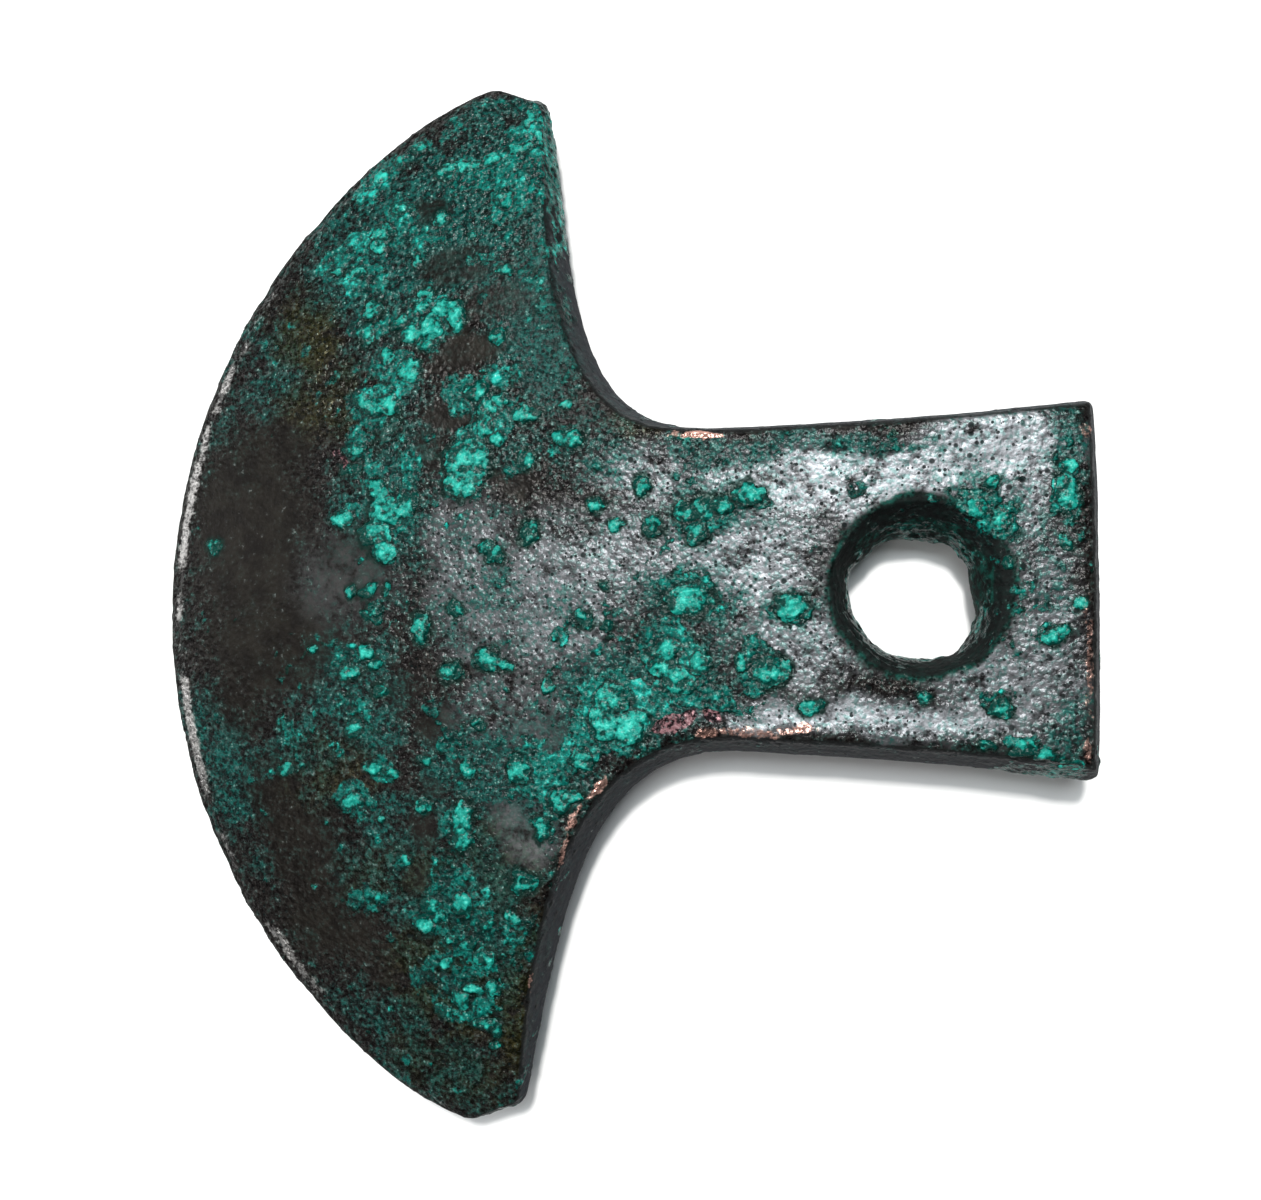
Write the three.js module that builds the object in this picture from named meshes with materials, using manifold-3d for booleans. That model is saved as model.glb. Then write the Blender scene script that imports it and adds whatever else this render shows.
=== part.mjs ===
import * as THREE from 'three';
import { mergeVertices } from 'three/addons/utils/BufferGeometryUtils.js';
import Module from 'manifold-3d';

// Bronze axe head, cast in one piece between two mould halves.
// Millimetres. X runs from the cutting edge to the butt, Y from horn tip to horn tip, Z up.
// The origin is at the middle of the underside.

// Overall sizes
const LENGTH = 134;
const SPAN = 150;
const THICKNESS = 12;

// Cutting edge: one round sweep this deep across the span, worn blunt, with a narrow hammered bevel
const EDGE_SWEEP = 46.2;
const EDGE_THICKNESS = 0.9;
const BEVEL_WIDTH = 2.4;
const BEVEL_THICKNESS = 2.6;

// The blade thickens from the bevel to full thickness over this distance
const BLADE_TAPER = 40;
const TAPER_FULLNESS = 1.6;

// Tang: a waisted slab that widens to a slightly bowed butt. Its +Y side runs further into the blade
const PLUS_SIDE_LENGTH = 52.1;
const MINUS_SIDE_LENGTH = 48.2;
const WAIST_WIDTH = 45.4;
const BUTT_WIDTH = 50.8;
const BUTT_BOW = 0.6;
const BUTT_CORNER = 1.8;

// Horns: blunt ends across each tip, and a hollow back that sweeps into the tang
const HORN_TIP_WIDTH = 10.3;
const HORN_TIP_SLOPE = THREE.MathUtils.degToRad(22.5);
const NOSE_CURL = 11;
const NOSE_ROUND = 2.6;
const HORN_HEEL = 1.4;
const BACK_LEAN = THREE.MathUtils.degToRad(9);
const BACK_UPPER_PULL = 0.58;
const BACK_LOWER_PULL = 0.4;

// Side walls lean in from the parting ridge at mid-thickness to both faces
const WALL_DRAFT = THREE.MathUtils.degToRad(20);
const ARRIS_ROUND = 1.1;

// Hole through the tang, wide at both faces and narrow between them
const HOLE_MOUTH_DIAMETER = 22.4;
const HOLE_THROAT_DIAMETER = 17.2;
const HOLE_TO_BUTT = 23.6;
const HOLE_THROAT_HEIGHT = 5;
const HOLE_THROAT_DRIFT = -0.9;

// How finely the curves are cut into facets
const NECK_STEPS = 8;
const HORN_STEPS = 18;
const BLADE_STATIONS = 12;
const TANG_STATIONS = 10;
const HOLE_STEPS = 60;
const HOLE_LEVELS = 8;

const halfLength = LENGTH / 2;
const halfDepth = THICKNESS / 2;
const edgeRadius = (EDGE_SWEEP ** 2 + (SPAN / 2) ** 2) / (2 * EDGE_SWEEP);
const sweepCentre = new THREE.Vector2(edgeRadius - halfLength, 0);
const buttCorner = new THREE.Vector2(halfLength - BUTT_BOW, BUTT_WIDTH / 2);

// Height of either face above the parting plane, at a point seen from above
function faceHeight(point) {
  const ahead = Math.min(point.x - sweepCentre.x, 0);
  const inward = edgeRadius - Math.hypot(ahead, point.y);
  const bevel = THREE.MathUtils.clamp(inward / BEVEL_WIDTH, 0, 1);
  const taper = THREE.MathUtils.clamp((inward - BEVEL_WIDTH) / (BLADE_TAPER - BEVEL_WIDTH), 0, 1);
  const overBevel = EDGE_THICKNESS + (BEVEL_THICKNESS - EDGE_THICKNESS) * bevel;
  const beyondBevel = (THICKNESS - BEVEL_THICKNESS) * (1 - (1 - taper) ** TAPER_FULLNESS);
  return (overBevel + beyondBevel) / 2;
}

// A step of the given length in a direction turned from +X
function step(angle, distance) {
  return new THREE.Vector2(Math.cos(angle), Math.sin(angle)).multiplyScalar(distance);
}

// Inward direction at a corner of a line walked clockwise, long enough to shift both sides by one
function mitre(before, at, after) {
  const arriving = at.clone().sub(before).normalize();
  const leaving = after.clone().sub(at).normalize();
  const first = new THREE.Vector2(arriving.y, -arriving.x);
  const second = new THREE.Vector2(leaving.y, -leaving.x);
  return first.clone().add(second).divideScalar(1 + first.dot(second));
}

// Evenly spaced places along a curve, stopping short of its ends
function spaced(curve, startGap, endGap, steps) {
  const length = curve.getLength();
  const places = [];
  for (let i = 0; i <= steps; i += 1) {
    const along = startGap + ((length - startGap - endGap) * i) / steps;
    places.push({ place: curve.getPointAt(along / length) });
  }
  return places;
}

// A sharp corner eased between the last place of one side and the first of the next
function eased(sharp, before, after, reach) {
  const curve = new THREE.QuadraticBezierCurve(before.place, sharp, after.place);
  const inward = mitre(before.place, sharp, after.place);
  return curve.getPoints(4).map((place) => ({ place, sharp, reach, inward }));
}

// Half of the parting ridge in five runs: edge, tip, horn back, tang side and butt
function ridgeRuns(noseHeight, sideLength) {
  const neck = new THREE.Vector2(halfLength - sideLength, WAIST_WIDTH / 2);
  const sweep = Math.asin(noseHeight / edgeRadius);
  const edge = new THREE.EllipseCurve(
    sweepCentre.x, 0, edgeRadius, edgeRadius, Math.PI, Math.PI - sweep, true,
  );
  const nose = edge.getPoint(1);
  const heel = nose.clone().add(step(-HORN_TIP_SLOPE, HORN_TIP_WIDTH));
  const hornHeight = heel.y - neck.y;
  const tip = new THREE.LineCurve(nose, heel);
  const back = new THREE.CubicBezierCurve(
    heel,
    heel.clone().add(step(BACK_LEAN - Math.PI / 2, hornHeight * BACK_UPPER_PULL)),
    neck.clone().add(step(Math.PI, hornHeight * BACK_LOWER_PULL)),
    neck,
  );
  const side = new THREE.QuadraticBezierCurve(
    neck,
    new THREE.Vector2((neck.x + buttCorner.x) / 2, neck.y),
    buttCorner,
  );
  const butt = new THREE.QuadraticBezierCurve(
    buttCorner,
    new THREE.Vector2(halfLength, buttCorner.y / 2),
    new THREE.Vector2(halfLength, 0),
  );

  const edgePlaces = spaced(edge, 0, NOSE_CURL, NECK_STEPS + HORN_STEPS - 2);
  const tipPlaces = spaced(tip, NOSE_ROUND, HORN_HEEL, BLADE_STATIONS - 4);
  const backPlaces = spaced(back, HORN_HEEL, 0, HORN_STEPS - 2);
  const sidePlaces = spaced(side, 0, BUTT_CORNER, TANG_STATIONS - 2);
  const buttPlaces = spaced(butt, BUTT_CORNER, 0, NECK_STEPS - 2);
  const noseEase = eased(nose, edgePlaces.at(-1), tipPlaces[0], NOSE_ROUND);
  const heelEase = eased(heel, tipPlaces.at(-1), backPlaces[0], HORN_HEEL);
  const cornerEase = eased(buttCorner, sidePlaces.at(-1), buttPlaces[0], BUTT_CORNER);
  return [
    [...edgePlaces.slice(0, -1), ...noseEase.slice(0, 3)],
    [...noseEase.slice(2), ...tipPlaces.slice(1, -1), ...heelEase.slice(0, 3)],
    [...heelEase.slice(2), ...backPlaces.slice(1)],
    [backPlaces.at(-1), ...sidePlaces.slice(1, -1), ...cornerEase.slice(0, 3)],
    [...cornerEase.slice(2), ...buttPlaces.slice(1)],
  ];
}

// Raise the sharp nose of the horn until the eased tip stands at half the span
function fittedRuns(sideLength) {
  let noseHeight = SPAN / 2;
  let runs = ridgeRuns(noseHeight, sideLength);
  for (let pass = 0; pass < 6; pass += 1) {
    const top = Math.max(...runs[0].concat(runs[1]).map((spot) => spot.place.y));
    noseHeight = Math.min(noseHeight + SPAN / 2 - top, edgeRadius * 0.999);
    runs = ridgeRuns(noseHeight, sideLength);
  }
  return runs;
}

// Give every spot of the runs its inward direction
function addInward(runs) {
  const loop = [];
  for (const run of runs) {
    loop.push(...(loop.length ? run.slice(1) : run));
  }
  const below = (spot) => new THREE.Vector2(spot.place.x, -spot.place.y);
  loop.forEach((spot, i) => {
    if (!spot.inward) {
      const before = i > 0 ? loop[i - 1].place : below(loop[1]);
      const after = i < loop.length - 1 ? loop[i + 1].place : below(loop[i - 1]);
      spot.inward = mitre(before, spot.place, after);
    }
  });
}

// A spot of the ridge moved in by a distance, its eased corners closing up as they go
function insetSpot(spot, distance) {
  if (!spot.sharp) {
    return spot.place.clone().addScaledVector(spot.inward, distance);
  }
  const ease = Math.max(1 - distance / spot.reach, 0.25);
  return spot.place.clone().sub(spot.sharp).multiplyScalar(ease)
    .add(spot.sharp).addScaledVector(spot.inward, distance);
}

// Section of the wall at full thickness, from the face over the rounded arris down to the ridge
function wallSection() {
  const lean = halfDepth * Math.tan(WALL_DRAFT);
  const arris = new THREE.Vector2(lean, halfDepth);
  const downWall = arris.clone().multiplyScalar(-ARRIS_ROUND / arris.length());
  const rounding = new THREE.QuadraticBezierCurve(
    new THREE.Vector2(lean + ARRIS_ROUND, halfDepth),
    arris,
    arris.clone().add(downWall),
  );
  const nearRidge = new THREE.Vector2(lean * 0.18, halfDepth * 0.35);
  return [...rounding.getPoints(2), nearRidge, new THREE.Vector2(0, 0)];
}

// The wall below one spot of the outline, thinner where the blade is thinner
function wallBelow(spot, section) {
  const rim = section[0].x;
  let share = faceHeight(spot.place) / halfDepth;
  share = faceHeight(insetSpot(spot, rim * share)) / halfDepth;
  const height = faceHeight(insetSpot(spot, rim * share));
  return section.map((point) => {
    const place = insetSpot(spot, point.x * share);
    return new THREE.Vector3(place.x, place.y, (height * point.y) / halfDepth);
  });
}

// Places along a straight line over a face, each raised to the face
function acrossFace(from, to, shares) {
  return shares.map((share) => {
    const flat = new THREE.Vector2(from.x, from.y).lerp(new THREE.Vector2(to.x, to.y), share);
    return new THREE.Vector3(flat.x, flat.y, faceHeight(flat));
  });
}

// One quarter of the skin: upper face and wall on one side of the centre line
function quarterSkin(sideLength) {
  const runs = fittedRuns(sideLength);
  addInward(runs);
  const section = wallSection();
  const walls = runs.map((run) => run.map((spot) => wallBelow(spot, section)));
  const [edge, tip, back, side, butt] = walls.map((run) => run.map((wall) => wall[0]));

  const neckMiddle = new THREE.Vector2(halfLength - (PLUS_SIDE_LENGTH + MINUS_SIDE_LENGTH) / 2, 0);
  const neckShares = Array.from({ length: NECK_STEPS + 1 }, (unused, i) => i / NECK_STEPS);
  const neckLine = acrossFace(neckMiddle, side[0], neckShares);

  const blade = edge.map((start, i) => {
    if (i === edge.length - 1) {
      return tip;
    }
    const end = i <= NECK_STEPS ? neckLine[i] : back[back.length - 1 - (i - NECK_STEPS)];
    const bevelShare = (BEVEL_WIDTH * 0.9) / start.distanceTo(end);
    const shares = [0];
    for (let j = 0; j < BLADE_STATIONS; j += 1) {
      const beyond = (j / (BLADE_STATIONS - 1)) ** 1.2;
      shares.push(bevelShare + (1 - bevelShare) * beyond);
    }
    const row = acrossFace(start, end, shares);
    row[0] = start;
    row[BLADE_STATIONS] = end;
    return row;
  });

  const tang = neckLine.map((start, i) => {
    if (i === NECK_STEPS) {
      return side;
    }
    const end = butt[butt.length - 1 - i];
    const shares = Array.from({ length: TANG_STATIONS + 1 }, (unused, j) => j / TANG_STATIONS);
    const row = acrossFace(start, end, shares);
    row[TANG_STATIONS] = end;
    return row;
  });

  const wallStrips = walls.map((run) => section.map((unused, k) => run.map((wall) => wall[k])));
  return { faces: [blade, tang], walls: wallStrips };
}

// Two triangles for every cell of a grid of rows
function addGrid(triangles, rows) {
  for (let i = 0; i + 1 < rows.length; i += 1) {
    for (let j = 0; j + 1 < rows[i].length; j += 1) {
      const cell = [rows[i][j], rows[i][j + 1], rows[i + 1][j + 1], rows[i + 1][j]];
      triangles.push(...[0, 1, 2, 0, 2, 3].map((corner) => cell[corner]));
    }
  }
}

// The closed skin: a quarter on each side of the centre line, and both mirrored below
function wholeSkin() {
  const positions = [];
  for (const [sideSign, sideLength] of [[1, PLUS_SIDE_LENGTH], [-1, MINUS_SIDE_LENGTH]]) {
    const quarter = quarterSkin(sideLength);
    const triangles = [];
    quarter.faces.forEach((rows) => addGrid(triangles, rows));
    quarter.walls.forEach((rows) => addGrid(triangles, rows));
    for (const faceSign of [1, -1]) {
      const order = sideSign * faceSign > 0 ? [0, 1, 2] : [0, 2, 1];
      for (let i = 0; i < triangles.length; i += 3) {
        for (const corner of order) {
          const point = triangles[i + corner];
          positions.push(point.x, sideSign * point.y, halfDepth + faceSign * point.z);
        }
      }
    }
  }
  const geometry = new THREE.BufferGeometry();
  geometry.setAttribute('position', new THREE.Float32BufferAttribute(positions, 3));
  return geometry;
}

// The empty space of the hole, run a little past both faces
function holeSpace() {
  const mouth = HOLE_MOUTH_DIAMETER / 2;
  const throat = HOLE_THROAT_DIAMETER / 2;
  const overrun = 0.8;
  const levels = [-overrun];
  for (let i = 0; i <= HOLE_LEVELS; i += 1) {
    levels.push((THICKNESS * i) / HOLE_LEVELS);
  }
  levels.push(THICKNESS + overrun);
  const flare = (height) => {
    const reach = height > HOLE_THROAT_HEIGHT ? THICKNESS - HOLE_THROAT_HEIGHT : HOLE_THROAT_HEIGHT;
    return Math.min(Math.abs(height - HOLE_THROAT_HEIGHT) / reach, 1);
  };
  const profile = levels.map((height) => (
    new THREE.Vector2(throat + (mouth - throat) * flare(height) ** 1.8, height)
  ));
  profile.unshift(new THREE.Vector2(0, -overrun));
  profile.push(new THREE.Vector2(0, THICKNESS + overrun));

  const geometry = new THREE.LatheGeometry(profile, HOLE_STEPS);
  geometry.rotateX(Math.PI / 2);
  const position = geometry.getAttribute('position');
  for (let i = 0; i < position.count; i += 1) {
    const drift = HOLE_THROAT_DRIFT * (1 - flare(position.getZ(i)));
    position.setX(i, position.getX(i) + halfLength - HOLE_TO_BUTT);
    position.setY(i, position.getY(i) + drift);
  }
  return geometry;
}

const wasm = await Module();
wasm.setup();

// A closed surface as a solid, facing outward
function asSolid(geometry) {
  const bare = geometry.clone();
  bare.deleteAttribute('normal');
  bare.deleteAttribute('uv');
  const merged = mergeVertices(bare, 1e-4);
  const index = merged.index.array;
  const corners = [];
  for (let i = 0; i < index.length; i += 3) {
    const [a, b, c] = [index[i], index[i + 1], index[i + 2]];
    if (a !== b && b !== c && c !== a) {
      corners.push(a, b, c);
    }
  }
  return new wasm.Manifold(new wasm.Mesh({
    numProp: 3,
    vertProperties: new Float32Array(merged.getAttribute('position').array),
    triVerts: new Uint32Array(corners),
  }));
}

// A solid back as a drawable surface
function asGeometry(solid) {
  const mesh = solid.getMesh();
  const geometry = new THREE.BufferGeometry();
  geometry.setAttribute('position', new THREE.BufferAttribute(mesh.vertProperties, 3));
  geometry.setIndex(new THREE.BufferAttribute(mesh.triVerts, 1));
  geometry.computeVertexNormals();
  return geometry;
}

const axeSolid = asSolid(wholeSkin()).subtract(asSolid(holeSpace()));
const bronze = new THREE.MeshStandardMaterial({ color: 0x4b4136, roughness: 0.45, metalness: 0.85 });
const axeHead = new THREE.Mesh(asGeometry(axeSolid), bronze);
axeHead.name = 'axe_head';

const part = new THREE.Group();
part.name = 'bronze_axe_head';
part.add(axeHead);

export default part;
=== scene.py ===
import math

import bmesh
import bpy
import numpy as np
from mathutils import Matrix, Vector
from mathutils.bvhtree import BVHTree


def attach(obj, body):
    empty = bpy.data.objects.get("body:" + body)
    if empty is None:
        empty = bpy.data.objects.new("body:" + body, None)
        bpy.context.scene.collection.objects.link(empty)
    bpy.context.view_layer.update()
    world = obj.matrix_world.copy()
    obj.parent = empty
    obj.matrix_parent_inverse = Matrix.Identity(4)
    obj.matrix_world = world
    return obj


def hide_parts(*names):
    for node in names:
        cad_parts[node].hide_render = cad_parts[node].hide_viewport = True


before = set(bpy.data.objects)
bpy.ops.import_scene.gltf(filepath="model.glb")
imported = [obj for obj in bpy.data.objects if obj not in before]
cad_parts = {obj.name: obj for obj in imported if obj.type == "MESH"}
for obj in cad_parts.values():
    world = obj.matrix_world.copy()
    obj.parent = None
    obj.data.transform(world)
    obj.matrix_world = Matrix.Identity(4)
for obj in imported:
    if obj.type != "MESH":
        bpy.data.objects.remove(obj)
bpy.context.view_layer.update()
scene = bpy.context.scene

# The camera. A hand-held camera looks almost straight down on the axe head from about
# 15 cm above the table, leaning a little towards the cutting edge and away from the lower
# horn, so the walls of the horns and of the tang show on their right and lower sides.
MM = 0.001
PHOTO_WIDTH = 1261
PHOTO_HEIGHT = 1200
FOCAL_PIXELS = 1027
SENSOR_WIDTH = 36.0
CAMERA_PLACE = Vector((27.05, -11.51, 150.28)) * MM
CAMERA_AIM = Vector((4.093, -1.663, 6.0)) * MM
CAMERA_ROLL = math.radians(0.30)

camera_data = bpy.data.cameras.new("photo_camera")
camera_data.sensor_width = SENSOR_WIDTH
camera_data.lens = SENSOR_WIDTH * FOCAL_PIXELS / PHOTO_WIDTH
camera_data.clip_start = 0.01
camera_data.clip_end = 5.0
camera = bpy.data.objects.new("photo_camera", camera_data)
scene.collection.objects.link(camera)
camera_back = (CAMERA_PLACE - CAMERA_AIM).normalized()
camera_side = Vector((math.cos(CAMERA_ROLL), math.sin(CAMERA_ROLL), 0.0))
camera_up = camera_back.cross(camera_side).normalized()
camera_right = camera_up.cross(camera_back)
turned = Matrix((camera_right, camera_up, camera_back)).transposed().to_4x4()
camera.matrix_world = Matrix.Translation(CAMERA_PLACE) @ turned
scene.camera = camera


def sight_line(across, down):
    """The direction from the camera through a place in the photo, in photo pixels."""
    sideways = (across - PHOTO_WIDTH / 2) / FOCAL_PIXELS
    upward = (PHOTO_HEIGHT / 2 - down) / FOCAL_PIXELS
    return (camera_right * sideways + camera_up * upward - camera_back).normalized()


# The bronze body. One casting of dark, satin patinated bronze: an open crescent blade that
# thins to a worn edge, and a short flared tang with a funnel hole. Its skin is gently
# uneven, pitted and grainy from the mould and from corrosion in the ground.
SKIN_GRID = 0.27
SKIN_TRIANGLES = 190000
MID_PLANE = 6.0
# Each step moves every place by this share of the way to the mean of its neighbours. The
# steps back keep the casting from shrinking.
EVENING_STEPS = (0.55, -0.57) * 6


def lattice(ix, iy, iz, seed):
    """A fixed random number from 0 to 1 for each whole-numbered place."""
    mixed = ix * 374761393 + iy * 668265263 + iz * 1274126177 + seed * 974634777
    mixed = mixed & 0xFFFFFFFF
    mixed = ((mixed ^ (mixed >> 13)) * 1274126177) & 0xFFFFFFFF
    mixed = ((mixed ^ (mixed >> 15)) * 2246822519) & 0xFFFFFFFF
    return ((mixed ^ (mixed >> 16)) & 0xFFFFFF) / 16777215.0


def soft_noise(places, size, seed):
    """Smooth noise from -1 to 1 whose lumps are about size mm across."""
    scaled = places / size
    low = np.floor(scaled)
    share = scaled - low
    share = share * share * share * (share * (share * 6 - 15) + 10)
    ix, iy, iz = low.astype(np.int64).T
    fx, fy, fz = share.T
    total = np.zeros(len(places))
    for dx in (0, 1):
        for dy in (0, 1):
            for dz in (0, 1):
                weight = (fx if dx else 1 - fx) * (fy if dy else 1 - fy) * (fz if dz else 1 - fz)
                total += weight * lattice(ix + dx, iy + dy, iz + dz, seed)
    return total * 2 - 1


def layered_noise(places, size, layers, seed, keep=0.5):
    """Several sizes of soft noise, each half the size of the one before."""
    total = np.zeros(len(places))
    strength = 1.0
    for layer in range(layers):
        turned_places = places[:, [layer % 3, (layer + 1) % 3, (layer + 2) % 3]]
        total += strength * soft_noise(turned_places, size * 0.5**layer, seed + 17 * layer)
        strength *= keep
    return total


def smooth_step(low, high, value):
    share = np.clip((value - low) / (high - low), 0.0, 1.0)
    return share * share * (3 - 2 * share)


def cell_noise(places, size, seed):
    """Distance to the nearest of randomly scattered points about size mm apart, in units of
    size, and that point's own random number."""
    scaled = places / size
    low = np.floor(scaled).astype(np.int64)
    nearest = np.full(len(places), 9.0)
    number = np.zeros(len(places))
    for dx in (-1, 0, 1):
        for dy in (-1, 0, 1):
            for dz in (-1, 0, 1):
                cell = low + np.array((dx, dy, dz))
                ix, iy, iz = cell.T
                shifts = [lattice(ix, iy, iz, seed + axis) for axis in range(3)]
                spot = cell + np.stack(shifts, axis=1)
                away = np.linalg.norm(scaled - spot, axis=1)
                closer = away < nearest
                nearest = np.where(closer, away, nearest)
                number = np.where(closer, lattice(ix, iy, iz, seed + 3), number)
    return nearest, number


casting = bmesh.new()
casting.from_mesh(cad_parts["axe_head"].data)
bmesh.ops.remove_doubles(casting, verts=casting.verts, dist=1e-6)
bmesh.ops.scale(casting, vec=(1 / MM,) * 3, verts=casting.verts)
bmesh.ops.triangulate(casting, faces=casting.faces)
bmesh.ops.recalc_face_normals(casting, faces=casting.faces)
casting_tree = BVHTree.FromBMesh(casting)
casting_mesh = bpy.data.meshes.new("casting")
casting.to_mesh(casting_mesh)
casting.free()


def spot_on_face(across, down):
    """Where a photo pixel lies on the casting, in mm. A pixel off the casting lies on the
    level of the casting's mid-plane instead."""
    start = CAMERA_PLACE / MM
    line = sight_line(across, down)
    spot = casting_tree.ray_cast(start, line)[0]
    if spot is None:
        spot = start + line * ((MID_PLANE - start.z) / line.z)
    return spot


rough_casting = bpy.data.objects.new("rough_casting", casting_mesh)
scene.collection.objects.link(rough_casting)
remesh = rough_casting.modifiers.new("skin", "REMESH")
remesh.mode = "VOXEL"
remesh.voxel_size = SKIN_GRID
remesh.adaptivity = 0.0
bpy.context.view_layer.update()
skin_mesh = bpy.data.meshes.new_from_object(
    rough_casting.evaluated_get(bpy.context.evaluated_depsgraph_get())
)
bpy.data.objects.remove(rough_casting)


def places_of(mesh):
    values = np.empty(len(mesh.vertices) * 3)
    mesh.vertices.foreach_get("co", values)
    return values.reshape(-1, 3)


def put_places(mesh, places):
    mesh.vertices.foreach_set("co", places.astype(np.float32).ravel())
    mesh.update()


def edge_ends(mesh):
    values = np.empty(len(mesh.edges) * 2, np.int32)
    mesh.edges.foreach_get("vertices", values)
    return values.reshape(-1, 2)


def neighbours_mean(values, ends, count):
    total = np.empty_like(values)
    for axis in range(3):
        column = np.bincount(ends[:, 0], values[ends[:, 1], axis], count)
        total[:, axis] = column + np.bincount(ends[:, 1], values[ends[:, 0], axis], count)
    shares = np.bincount(ends.ravel(), minlength=count)
    return total / np.maximum(shares, 1)[:, None]


def normals_of(mesh):
    values = np.empty(len(mesh.vertices) * 3, np.float32)
    mesh.vertex_normals.foreach_get("vector", values)
    return values.reshape(-1, 3).astype(float)


skin = places_of(skin_mesh)
skin_edges = edge_ends(skin_mesh)
for strength in EVENING_STEPS:
    skin += strength * (neighbours_mean(skin, skin_edges, len(skin)) - skin)
put_places(skin_mesh, skin)
skin_normals = normals_of(skin_mesh)

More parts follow.
